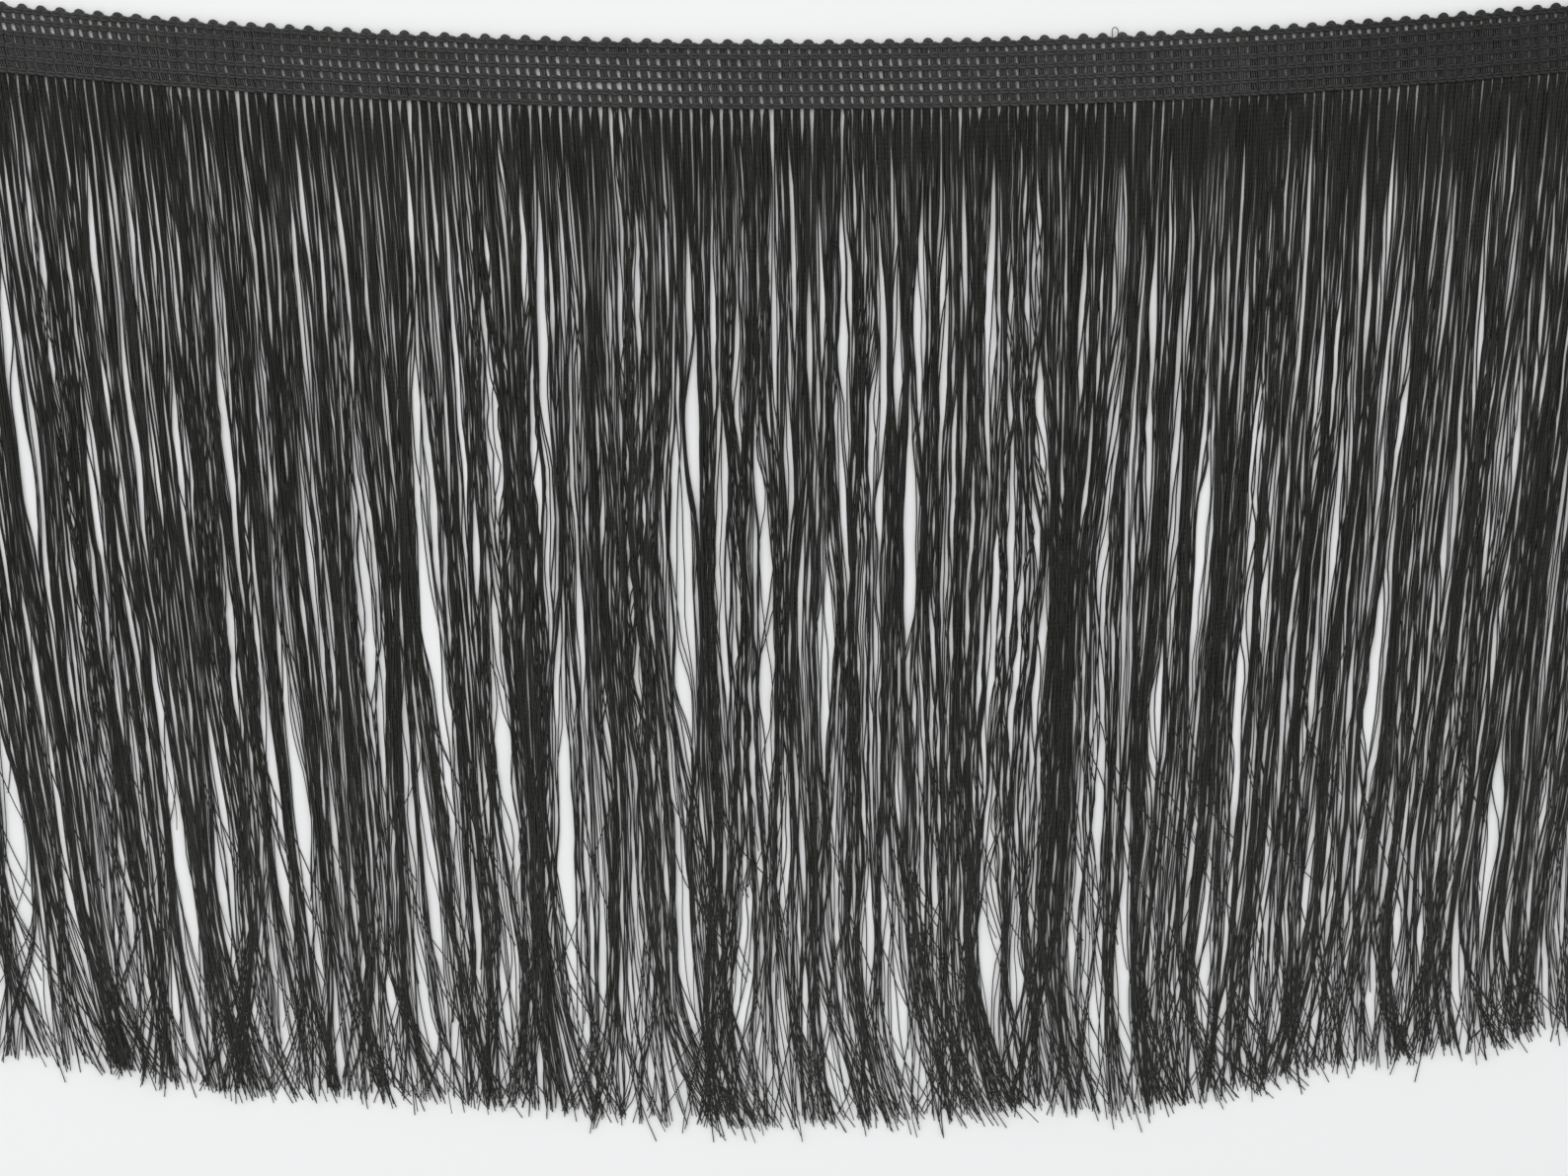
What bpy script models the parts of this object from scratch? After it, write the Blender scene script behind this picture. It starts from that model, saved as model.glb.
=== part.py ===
"""Thread-fringe trim, lying face up on a flat surface: a crocheted heading and its cut fringe.

The heading is a narrow tape of six chain ribs, worked side by side. Weft yarns run across
them, turn over the top rib in small scallops, and hang far below the lowest rib, where they
are cut. The trim lies in a shallow curve with its ends turned up, and its fringe is combed
in a little towards the middle, so that it parts into locks.

The origin is the middle of the heading's flat back, +X runs along the heading, the fringe
points to -Y, and +Z is up from the surface.
"""

import math
import random
from collections import namedtuple

import bmesh
import bpy

MM = 0.001

# The heading, in its own lengths: along it, across it (up is towards the scallops), and thick.
RIB_PITCH = 1.77 * MM  # chain to chain: one needle of a 14-gauge crochet machine
RIBS = 6
RIB_HALF_WIDTH = 0.42 * MM
RIB_HALF_CROWN = 0.20 * MM
RIB_TOP = 1.40 * MM
WEB_TOP = 0.80 * MM  # the weft between two ribs
SCALLOPS = 96
SCALLOP_PITCH = 2.78 * MM
SCALLOP_HALF_WIDTH = 0.85 * MM
SCALLOP_HEIGHT = 0.75 * MM
SCALLOP_BASE = 0.48 * MM  # from the middle of the top rib to the foot of the scallops
SCALLOP_CORNERS = 4
NODE_GAP = 0.30 * MM  # between the tape and the strip that the fringe is fused to
HEADING_LENGTH = SCALLOPS * SCALLOP_PITCH
CURVE_RADIUS = 1178 * MM  # of the shallow curve that the heading lies in
PANELS = 24  # straight steps that the curve is made of

# The fringe.
STRANDS = 240  # each stands for eight threads
STRAND_SHARE = 0.74  # of the room that a strand has at its root
STRAND_TOP = 0.70 * MM
TIP_TOP = 0.50 * MM
COMB_POINT = (12 * MM, -965 * MM)  # where the combed threads would meet
LEVELS = (0.0, 24 * MM, 49 * MM, 74 * MM, 99 * MM, 122 * MM)  # down the threads, then the tip
SWEEP_LENGTH = 16 * MM  # the end of the threads that is swept aside
UNEVEN_CUT = 1.1 * MM  # how much longer or shorter than the cut line a strand may be
CUT_SEED = 7
PARTING_REACH = 1.6  # how far a parting crowds the strands beside it, in its own widths
PARTING_REACH_LEAST = 1.6 * MM

HEADING_COLOUR = (0.040, 0.038, 0.040, 1.0)
FRINGE_COLOUR = (0.018, 0.017, 0.019, 1.0)
YARN_ROUGHNESS = 0.75

# In mm. x: where the middle of the parting lies, along the heading. start, end: how far down
# the threads it runs. width: at its widest.
Parting = namedtuple("Parting", "x start end width")
PARTINGS = (
    Parting(-109.2, 25, 73, 1.6),
    Parting(-108.9, 96, 136, 3.8),
    Parting(-93.3, 110, 131, 1.9),
    Parting(-86.5, 36, 66, 1.7),
    Parting(-79.8, 101, 132, 1.8),
    Parting(-78.6, 58, 99, 1.8),
    Parting(-68.9, 69, 135, 2.7),
    Parting(-52.5, 26, 63, 1.4),
    Parting(-49.7, 97, 126, 1.9),
    Parting(-45.5, 110, 129, 1.8),
    Parting(-40.6, 62, 113, 2.0),
    Parting(-35.0, 45, 65, 1.6),
    Parting(-32.4, 78, 122, 1.6),
    Parting(-25.8, 49, 69, 1.3),
    Parting(-21.2, 67, 94, 1.5),
    Parting(-14.1, 73, 103, 2.3),
    Parting(-13.0, 17, 60, 1.5),
    Parting(-11.9, 92, 131, 2.1),
    Parting(-6.2, 100, 133, 2.0),
    Parting(-2.8, 41, 73, 1.4),
    Parting(6.0, 71, 103, 1.4),
    Parting(7.5, 39, 71, 1.6),
    Parting(12.6, 107, 133, 2.8),
    Parting(18.0, 40, 75, 1.9),
    Parting(29.7, 99, 132, 2.1),
    Parting(36.8, 29, 76, 1.9),
    Parting(42.3, 111, 129, 1.6),
    Parting(44.7, 76, 112, 2.2),
    Parting(47.4, 8, 48, 1.4),
    Parting(53.3, 78, 100, 2.2),
    Parting(62.9, 15, 49, 1.1),
    Parting(65.5, 69, 107, 1.4),
    Parting(71.8, 117, 129, 1.5),
    Parting(76.2, 29, 62, 1.5),
    Parting(84.6, 68, 106, 2.2),
    Parting(88.4, 31, 57, 1.6),
    Parting(88.7, 109, 135, 2.2),
    Parting(102.1, 96, 125, 2.8),
    Parting(103.8, 15, 41, 1.1),
    Parting(111.8, 116, 129, 1.6),
)

# In mm. x: along the heading. length: from the lowest rib to the cut tips. sweep: how far
# the tips lie to the +X side of where they were combed to.
TipRow = namedtuple("TipRow", "x length sweep")
TIPS = (
    TipRow(-134, 145.0, 1.2),
    TipRow(-103, 146.5, 1.8),
    TipRow(-84, 145.5, 0.2),
    TipRow(-55, 144.6, 0.8),
    TipRow(-28, 146.0, 0.6),
    TipRow(9, 146.3, 2.2),
    TipRow(28, 146.0, 1.7),
    TipRow(37, 143.0, 1.8),
    TipRow(46, 145.4, 2.0),
    TipRow(65, 145.6, 1.4),
    TipRow(84, 142.8, 0.6),
    TipRow(102, 141.5, 2.2),
    TipRow(134, 140.5, 1.8),
)

# In mm. Waves that the strands wander in, growing down the fringe. spacing: between two
# waves along the heading. size: at the tips, to each side. run: down the threads.
Wave = namedtuple("Wave", "spacing size run")
WAVES = (
    Wave(4.3, 0.06, 71),
    Wave(7.9, 0.12, -95),
    Wave(19.0, 0.40, 160),
)


def rib_middle(rib):
    """The place across the heading of a rib, counted from the lowest."""
    return (rib - (RIBS - 1) / 2) * RIB_PITCH


FRINGE_LINE = rib_middle(0) - RIB_HALF_WIDTH
SPLIT_LINE = rib_middle(0) + RIB_PITCH / 2
SCALLOP_LINE = rib_middle(RIBS - 1) + SCALLOP_BASE


def laid(along, across):
    """The point (x, y) of a place on the heading, once it lies in its curve."""
    angle = along / CURVE_RADIUS
    radius = CURVE_RADIUS - across
    return radius * math.sin(angle), CURVE_RADIUS - radius * math.cos(angle)


def combed(along, down):
    """The point (x, y) that lies down a combed thread from a place on the fringe line."""
    x, y = laid(along, FRINGE_LINE)
    run_x, run_y = COMB_POINT[0] - x, COMB_POINT[1] - y
    share = down / math.hypot(run_x, run_y)
    return x + run_x * share, y + run_y * share


def narrowing(down):
    """How much closer together the combed threads lie there than at their roots."""
    return 1 - down / (FRINGE_LINE - COMB_POINT[1])


def seam(parting, pitch):
    """The place on the fringe line between two strands that a parting leads up to."""
    middle = (parting.start + parting.end) / 2 * MM
    place = COMB_POINT[0] + (parting.x * MM - COMB_POINT[0]) / narrowing(middle)
    return round(place / pitch) * pitch


def pushed_aside(along, down, pitch):
    """The place on the fringe line that a strand seems to hang from, beside the partings."""
    shift = 0.0
    for parting in PARTINGS:
        share = (down / MM - parting.start) / (parting.end - parting.start)
        width = parting.width * MM / narrowing(down)
        reach = PARTING_REACH * width + PARTING_REACH_LEAST
        away = (along - seam(parting, pitch)) / reach
        if 0 < share < 1 and abs(away) < 1:
            opening = 0.5 * width * math.sin(math.pi * share) ** 1.5
            shift += math.copysign(opening * (1 - abs(away)) ** 2, away)
    return along + shift


def tip_value(along, column):
    """A column of the table of tips in metres, at a place along the heading."""
    x = along / MM
    for low, high in zip(TIPS, TIPS[1:]):
        if x <= high.x or high is TIPS[-1]:
            share = (x - low.x) / (high.x - low.x)
            a, b = getattr(low, column), getattr(high, column)
            return (a + (b - a) * share) * MM
    return 0.0


def wander(along, down, length):
    """How far to the side the waves carry a strand."""
    shift = 0.0
    for wave in WAVES:
        turn = math.tau * (along / wave.spacing + down / wave.run) / MM
        shift += wave.size * MM * math.sin(turn)
    return shift * down / length


def hung(along, down, length, sweep, pitch):
    """The point (x, y) down a strand, parted, combed and swept aside at its tip."""
    bent = max(0.0, down - (length - SWEEP_LENGTH)) / SWEEP_LENGTH
    place = pushed_aside(along, down, pitch) + wander(along, down, length)
    return combed(place + sweep * bent**2, down)


class Solid:
    """Faces added one by one, with each corner made once."""

    def __init__(self):
        self.bm = bmesh.new()
        self.corners = {}

    def corner(self, x, y, z):
        key = (round(x, 9), round(y, 9), round(z, 9))
        if key not in self.corners:
            self.corners[key] = self.bm.verts.new((x, y, z))
        return self.corners[key]

    def on_heading(self, along, across, z):
        return self.corner(*laid(along, across), z)

    def face(self, *corners):
        self.bm.faces.new(corners)

    def fan(self, a, b, chain):
        """Triangles from the edge a-b to a chain of corners that starts by a and ends by b."""
        middle = len(chain) // 2
        for near, far in zip(chain[:middle], chain[1 : middle + 1]):
            self.face(a, near, far)
        self.face(a, chain[middle], b)
        for near, far in zip(chain[middle:], chain[middle + 1 :]):
            self.face(b, near, far)

    def finish(self, name, material):
        bmesh.ops.recalc_face_normals(self.bm, faces=self.bm.faces)
        mesh = bpy.data.meshes.new(name)
        self.bm.to_mesh(mesh)
        self.bm.free()
        mesh.materials.append(material)
        mesh.shade_smooth()
        mesh.set_sharp_from_angle(angle=math.radians(40))
        node = bpy.data.objects.new(name, mesh)
        bpy.context.collection.objects.link(node)
        return node


def yarn(name, colour):
    material = bpy.data.materials.new(name)
    material.use_nodes = True
    shader = material.node_tree.nodes["Principled BSDF"]
    shader.inputs["Base Color"].default_value = colour
    shader.inputs["Roughness"].default_value = YARN_ROUGHNESS
    shader.inputs["Metallic"].default_value = 0.0
    return material


def rib_rows(ribs):
    """Rows (across, z) over some of the ribs, each with a low foot, a crown and a high foot."""
    rows = []
    for rib in ribs:
        middle = rib_middle(rib)
        rows += [
            (middle - RIB_HALF_WIDTH, WEB_TOP),
            (middle - RIB_HALF_CROWN, RIB_TOP),
            (middle + RIB_HALF_CROWN, RIB_TOP),
            (middle + RIB_HALF_WIDTH, WEB_TOP),
        ]
    return rows


def panel_places():
    """Pairs of places along the heading, where each straight panel starts and ends."""
    step = HEADING_LENGTH / PANELS
    places = [step * (i - PANELS / 2) for i in range(PANELS + 1)]
    return list(zip(places, places[1:]))


def ribbed_face(solid, rows, start, end):
    """The top of one panel, row by row."""
    for (low, low_z), (high, high_z) in zip(rows, rows[1:]):
        solid.face(
            solid.on_heading(start, low, low_z),
            solid.on_heading(end, low, low_z),
            solid.on_heading(end, high, high_z),
            solid.on_heading(start, high, high_z),
        )


def close_ends(solid, section):
    """A face over each end of the heading, given the corners (across, z) of its section."""
    for along in (panel_places()[0][0], panel_places()[-1][1]):
        solid.face(*(solid.on_heading(along, across, z) for across, z in section))


def scallop(middle):
    """The corners (along, across) of one turn of the weft over the top rib."""
    turns = [math.pi * (1 - i / SCALLOP_CORNERS) for i in range(SCALLOP_CORNERS + 1)]
    return [
        (
            middle + SCALLOP_HALF_WIDTH * math.cos(turn),
            SCALLOP_LINE + SCALLOP_HEIGHT * math.sin(turn),
        )
        for turn in turns
    ]


def make_heading_band():
    """The tape: five ribs and the scalloped edge, cut off just above the lowest rib."""
    solid = Solid()
    low_edge = SPLIT_LINE + NODE_GAP / 2
    rows = [(low_edge, WEB_TOP), *rib_rows(range(1, RIBS))]
    per_panel = SCALLOPS // PANELS
    for start, end in panel_places():
        ribbed_face(solid, rows, start, end)
        solid.face(
            solid.on_heading(start, low_edge, 0),
            solid.on_heading(end, low_edge, 0),
            solid.on_heading(end, low_edge, WEB_TOP),
            solid.on_heading(start, low_edge, WEB_TOP),
        )
        edge, base = [(start, SCALLOP_LINE)], [(start, SCALLOP_LINE)]
        for i in range(per_panel):
            turn = scallop(start + (i + 0.5) * SCALLOP_PITCH)
            base += [turn[0], turn[-1]]
            edge += turn
            for z in (0, WEB_TOP):
                solid.face(*(solid.on_heading(*place, z) for place in turn))
        edge.append((end, SCALLOP_LINE))
        base.append((end, SCALLOP_LINE))
        for near, far in zip(edge, edge[1:]):
            solid.face(
                solid.on_heading(*near, 0),
                solid.on_heading(*far, 0),
                solid.on_heading(*far, WEB_TOP),
                solid.on_heading(*near, WEB_TOP),
            )
        for row, z in ((rows[-1][0], WEB_TOP), (low_edge, 0)):
            solid.fan(
                solid.on_heading(start, row, z),
                solid.on_heading(end, row, z),
                [solid.on_heading(*place, z) for place in base],
            )
    close_ends(solid, [(low_edge, 0), *rows, (SCALLOP_LINE, WEB_TOP), (SCALLOP_LINE, 0)])
    return solid.finish("heading_band", yarn("crocheted_black_yarn", HEADING_COLOUR))


def strand(solid, middle, pitch, uneven):
    """One lock down to its cut tip. Returns its root's left, right and top corners."""
    half = STRAND_SHARE * pitch / 2
    length = tip_value(middle, "length") + uneven
    sweep = tip_value(middle, "sweep")
    above = None
    for down in (*LEVELS, length):
        top = WEB_TOP if down == 0 else STRAND_TOP if down < length else TIP_TOP
        left, right, ridge = (
            solid.corner(*hung(middle + side, down, length, sweep, pitch), z)
            for side, z in ((-half, 0), (half, 0), (0, top))
        )
        if above is None:
            root = (left, right, ridge)
        else:
            for i, j in ((0, 1), (1, 2), (2, 0)):
                now = (left, right, ridge)
                solid.face(above[i], above[j], now[j], now[i])
        above = (left, right, ridge)
    solid.face(*above)
    return root


def make_fringe():
    """The lowest chain rib as a narrow strip, with every strand fused to its lower side."""
    solid = Solid()
    high_edge = SPLIT_LINE - NODE_GAP / 2
    rows = [*rib_rows(range(1)), (high_edge, WEB_TOP)]
    pitch = HEADING_LENGTH / STRANDS
    per_panel = STRANDS // PANELS
    scissors = random.Random(CUT_SEED)
    for start, end in panel_places():
        ribbed_face(solid, rows[1:], start, end)
        solid.face(
            solid.on_heading(start, high_edge, 0),
            solid.on_heading(end, high_edge, 0),
            solid.on_heading(end, high_edge, WEB_TOP),
            solid.on_heading(start, high_edge, WEB_TOP),
        )
        floor = [solid.on_heading(start, FRINGE_LINE, 0)]
        brow = [solid.on_heading(start, FRINGE_LINE, WEB_TOP)]
        for i in range(per_panel):
            uneven = scissors.uniform(-UNEVEN_CUT, UNEVEN_CUT)
            left, right, ridge = strand(solid, start + (i + 0.5) * pitch, pitch, uneven)
            solid.face(floor[-1], left, ridge, brow[-1])
            floor += [left, right]
            brow.append(ridge)
        floor.append(solid.on_heading(end, FRINGE_LINE, 0))
        brow.append(solid.on_heading(end, FRINGE_LINE, WEB_TOP))
        solid.face(floor[-2], floor[-1], brow[-1], brow[-2])
        for row, z, chain in ((rows[1][0], RIB_TOP, brow), (high_edge, 0, floor)):
            solid.fan(solid.on_heading(start, row, z), solid.on_heading(end, row, z), chain)
    close_ends(solid, [(FRINGE_LINE, 0), *rows, (high_edge, 0)])
    return solid.finish("fringe", yarn("loose_black_thread", FRINGE_COLOUR))


def main():
    for old in list(bpy.data.objects):
        bpy.data.objects.remove(old)
    trim = bpy.data.objects.new("fringe_trim", None)
    bpy.context.collection.objects.link(trim)
    for node in (make_heading_band(), make_fringe()):
        node.parent = trim


main()
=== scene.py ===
"""Black thread-fringe trim with a crocheted heading, lying flat and face up.

The heading is six rows of chain stitch worked over bundles of weft yarn. Each bundle runs up
the heading, turns over the top row in a small scallop and comes down as the next bundle.
Below the lowest row the wefts hang on as loose threads, combed into locks and cut.

Sizes are in millimetres until a mesh is made. "Along" runs with the heading from its middle,
"across" runs over it towards the scallops, and "down" runs down a thread from the heading.
"""

import math
from collections import namedtuple

import bpy
import numpy as np
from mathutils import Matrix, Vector


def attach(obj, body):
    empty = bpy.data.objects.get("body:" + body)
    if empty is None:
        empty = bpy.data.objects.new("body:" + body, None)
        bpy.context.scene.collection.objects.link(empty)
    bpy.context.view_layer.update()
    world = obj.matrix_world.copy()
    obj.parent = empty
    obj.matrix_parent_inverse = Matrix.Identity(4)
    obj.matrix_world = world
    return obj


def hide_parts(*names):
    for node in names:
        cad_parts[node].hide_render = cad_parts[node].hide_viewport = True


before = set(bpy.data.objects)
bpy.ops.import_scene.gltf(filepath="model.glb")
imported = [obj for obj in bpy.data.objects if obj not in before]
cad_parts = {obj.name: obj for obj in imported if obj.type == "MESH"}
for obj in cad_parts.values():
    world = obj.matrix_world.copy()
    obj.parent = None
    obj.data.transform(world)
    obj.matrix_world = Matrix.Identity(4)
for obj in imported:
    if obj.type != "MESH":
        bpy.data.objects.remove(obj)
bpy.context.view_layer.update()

MM = 0.001

# Each group of random draws has its own seed, so the trim comes out the same every time.
THREAD_SEED = 11
DRAWN_UP_SEED = 13
WEFT_SEED = 23
BACK_YARN_SEED = 31
STITCH_SEED = 41
WEFT_SHADE_SEED = 51
THREAD_SHADE_SEED = 61
HEADING_CHAIN_SEED = 3
FRINGE_CHAIN_SEED = 5

# ------------------------------ the heading's sizes

RIB_PITCH = 1.77  # chain row to chain row: one needle of a 14-gauge crochet machine
RIBS = 6
COLUMN_PITCH = 1.39  # bundle of weft to bundle of weft, and stitch to stitch
COLUMNS = 192
HEADING_LENGTH = COLUMNS * COLUMN_PITCH
CURVE_RADIUS = 1178.0  # of the shallow curve that the heading lies in, its ends turned up
LEAN = 0.055  # how far a bundle leans along the heading for each mm across it
LEAN_CHANGE = -0.0010  # of that lean for each mm along the heading
RIB_HALF_WIDTH = 0.42
FRINGE_LINE = -(RIBS - 1) / 2 * RIB_PITCH - RIB_HALF_WIDTH  # where the loose threads begin

YARN_THICKNESS = 0.27  # of the weft
CHAIN_THICKNESS = 0.42  # of the chains, a softer and fuller yarn
YARNS_ABREAST = 4
YARN_LAYERS = 2
LAYER_STEPS = (0.12, 0.37)  # where the two layers begin, in steps from yarn to yarn
WEFT_HEIGHTS = (0.42, 0.66)  # of the two layers of weft
BACK_YARN_HEIGHT = 0.16  # of the yarn that runs along the back of each chain row

BUNDLE_AT_RIB = 1.24  # a bundle is squeezed where a chain row holds it
BUNDLE_AT_TOP = 0.86  # and more where it starts its turn over the top row
HOLE_WIDTH = 0.62  # between two bundles where the hole is fully open
HOLE_SHUT = 0.10  # below this openness the bundles beside a hole overlap
HOLE_END = 0.27  # a hole ends this share of a row before the next chain
HOLE_SLANT = 0.05  # a bundle runs aside between two chain rows, and back under them
HOLE_SLANT_CHANGE = -0.0006  # of that for each mm along the heading

TOP_ROW_DROP = 0.28  # the turns pull the top chain row down from its place
TOP_SPREAD = 0.06  # the two bundles under a scallop each stand this much further out
TOP_GATHER = 0.28  # and come this much further in where they turn
SCALLOP_FOOT = 0.10  # from there the turn begins, above the top row's own place
SCALLOP_STEPS = (20, 45, 70, 90, 110, 135, 160)  # degrees round the turn
SCALLOP_HALF_WIDTHS = (0.70, 0.53, 0.36, 0.19)  # of the turns, from the outer yarn to the inner
SCALLOP_RISES = (0.56, 0.46, 0.36, 0.25)  # and how far these rise
SCALLOP_LAYER_STEP = 0.05  # the upper layer turns this much tighter
SCALLOP_CROWN = 0.05  # how much higher a yarn lies at the top of its turn

SLACK_PLACE = 47.6  # one ply was left slack, and stands up over a scallop there
SLACK_THICKNESS = 0.14
SLACK_HALF_WIDTH = 0.42
SLACK_RISE = 1.45
SLACK_BULGE = 0.4  # its sides bulge by this share
SLACK_CURVE = 0.6  # the power of its rise: below 1 its feet are steep and its top is flat
SLACK_LIFT = 0.3  # how far its top stands off the heading's face

# How uneven the work is: the usual size of a random step, or the least and the most.
HOLE_UNEVEN = (0.7, 1.3)
YARN_UNEVEN = 0.02
YARN_RISE = 0.01  # yarns are pushed up a little on average
YARN_RISE_UNEVEN = 0.03
SCALLOP_UNEVEN = (0.9, 1.1)
ROW_UNEVEN = 0.03
BACK_YARN_UNEVEN = 0.02
STITCH_UNEVEN = 0.06

# The heading isn't worked quite evenly: how far its bundles are shifted along it.
ShiftRow = namedtuple("ShiftRow", "x shift")
SHIFTS = (
    ShiftRow(-133.4, 0.5),
    ShiftRow(-109.8, 1.0),
    ShiftRow(-54.2, 0.2),
    ShiftRow(12.5, 2.8),
    ShiftRow(57.0, 2.7),
    ShiftRow(109.8, 0.9),
    ShiftRow(133.4, 0.0),
)

# How open the holes are, 0 to 1, by place along the heading; top is the row under the scallops.
HoleRow = namedtuple("HoleRow", "x low fourth third second top")
HOLES = (
    HoleRow(-101, 0.05, 0.05, 0.20, 0.90, 0.90),
    HoleRow(-87, 0.15, 0.30, 0.20, 0.20, 0.50),
    HoleRow(-79, 0.15, 0.30, 0.20, 0.15, 0.15),
    HoleRow(-70, 0.30, 0.50, 0.60, 0.30, 0.15),
    HoleRow(-60, 0.30, 0.50, 0.60, 0.30, 0.50),
    HoleRow(-49, 0.15, 0.35, 0.60, 0.30, 0.80),
    HoleRow(-38, 0.30, 0.50, 0.60, 0.50, 0.20),
    HoleRow(-25, 0.50, 0.85, 0.50, 0.50, 0.05),
    HoleRow(-8, 0.40, 0.35, 0.35, 0.35, 0.30),
    HoleRow(5, 0.35, 0.35, 0.20, 0.40, 0.30),
    HoleRow(15, 0.60, 0.70, 0.55, 0.60, 0.40),
    HoleRow(24, 0.40, 0.50, 0.40, 0.45, 0.10),
    HoleRow(35, 0.15, 0.25, 0.25, 0.20, 0.60),
    HoleRow(52, 0.15, 0.25, 0.25, 0.20, 0.85),
    HoleRow(62, 0.03, 0.05, 0.08, 0.12, 0.70),
    HoleRow(84, 0.03, 0.05, 0.08, 0.05, 0.65),
    HoleRow(96, 0.03, 0.03, 0.03, 0.05, 0.60),
    HoleRow(112, 0.03, 0.03, 0.03, 0.05, 0.40),
)

# One side of a chain stitch's loop; the other side mirrors it. along is in stitch lengths.
StitchRow = namedtuple("StitchRow", "along across height")
STITCH = (
    StitchRow(-0.50, -0.05, 0.25),
    StitchRow(-0.32, -0.11, 0.78),
    StitchRow(-0.05, -0.22, 0.96),
    StitchRow(0.25, -0.23, 0.90),
    StitchRow(0.52, -0.15, 0.62),
    StitchRow(0.72, 0.00, 0.50),
)

# ------------------------------ the fringe's sizes

THREADS_A_COLUMN = 10  # the yarns of a column, some of them with their two plies come apart
THREADS = COLUMNS * THREADS_A_COLUMN
PAIRS = THREADS // 2  # two threads that keep together down to their tips
THREAD_LENGTH = 146.0  # the usual length, heading to tip
LOOSE_THICKNESS = 0.82  # of a thread that clings little, as a share of the others'
COMB_POINT = (12.0, -965.0)  # where the combed threads would meet
LOWEST_LIE = 0.14  # how high the middle of a thread lies on the surface
PILE_HEIGHT = 0.62  # and on top of the others
FRINGE_PARTS = 5

# down: how far down a thread. It is full where it leaves the heading, and its end is drawn fine.
ThicknessRow = namedtuple("ThicknessRow", "down thickness")
THREAD_THICKNESS = (
    ThicknessRow(0, 0.215),
    ThicknessRow(25, 0.212),
    ThicknessRow(65, 0.214),
    ThicknessRow(90, 0.187),
    ThicknessRow(120, 0.168),
    ThicknessRow(146, 0.152),
)

# Painted light: how much paler a thread is painted towards its end, for the light that its fuzzy
# end catches, added to its shade of 0 to 1.
PaintedTipSheenRow = namedtuple("PaintedTipSheenRow", "down paler")
PAINTED_TIP_SHEEN = (
    PaintedTipSheenRow(0, 0.0),
    PaintedTipSheenRow(80, 0.0),
    PaintedTipSheenRow(125, 0.85),
    PaintedTipSheenRow(146, 1.1),
)

# x is along the heading. Width and length of the white slit between two columns of threads
# just under the heading.
SlitRow = namedtuple("SlitRow", "x width length")
SLITS = (
    SlitRow(-112, 0.29, 6.0),
    SlitRow(-92, 0.30, 5.5),
    SlitRow(-78, 0.56, 5.5),
    SlitRow(-55, 0.50, 5.0),
    SlitRow(-28, 0.64, 4.5),
    SlitRow(0, 0.56, 4.0),
    SlitRow(22, 0.58, 3.2),
    SlitRow(40, 0.50, 3.6),
    SlitRow(62, 0.40, 4.2),
    SlitRow(112, 0.34, 5.0),
)

# length: heading to cut line. lean: how far the lower half of the threads leans aside.
# sweep: how far the ends are then brushed to the right.
TipRow = namedtuple("TipRow", "x length lean sweep")
TIPS = (
    TipRow(-134, 144.0, 0.0, 3.0),
    TipRow(-103, 145.5, 0.0, 1.4),
    TipRow(-84, 144.5, -0.3, 0.0),
    TipRow(-66, 144.0, 0.0, 1.2),
    TipRow(-47, 143.8, 0.2, 2.0),
    TipRow(-28, 145.0, 0.0, 0.8),
    TipRow(-10, 145.3, 0.0, 1.9),
    TipRow(9, 145.3, 0.0, 3.8),
    TipRow(28, 145.0, -0.3, 2.6),
    TipRow(37, 142.0, -0.5, 2.9),
    TipRow(46, 144.4, -0.7, 3.0),
    TipRow(65, 144.6, -1.5, 2.1),
    TipRow(84, 141.8, -2.4, 0.6),
    TipRow(102, 140.5, -3.0, 2.4),
    TipRow(134, 139.5, -3.0, 5.5),
)

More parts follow.
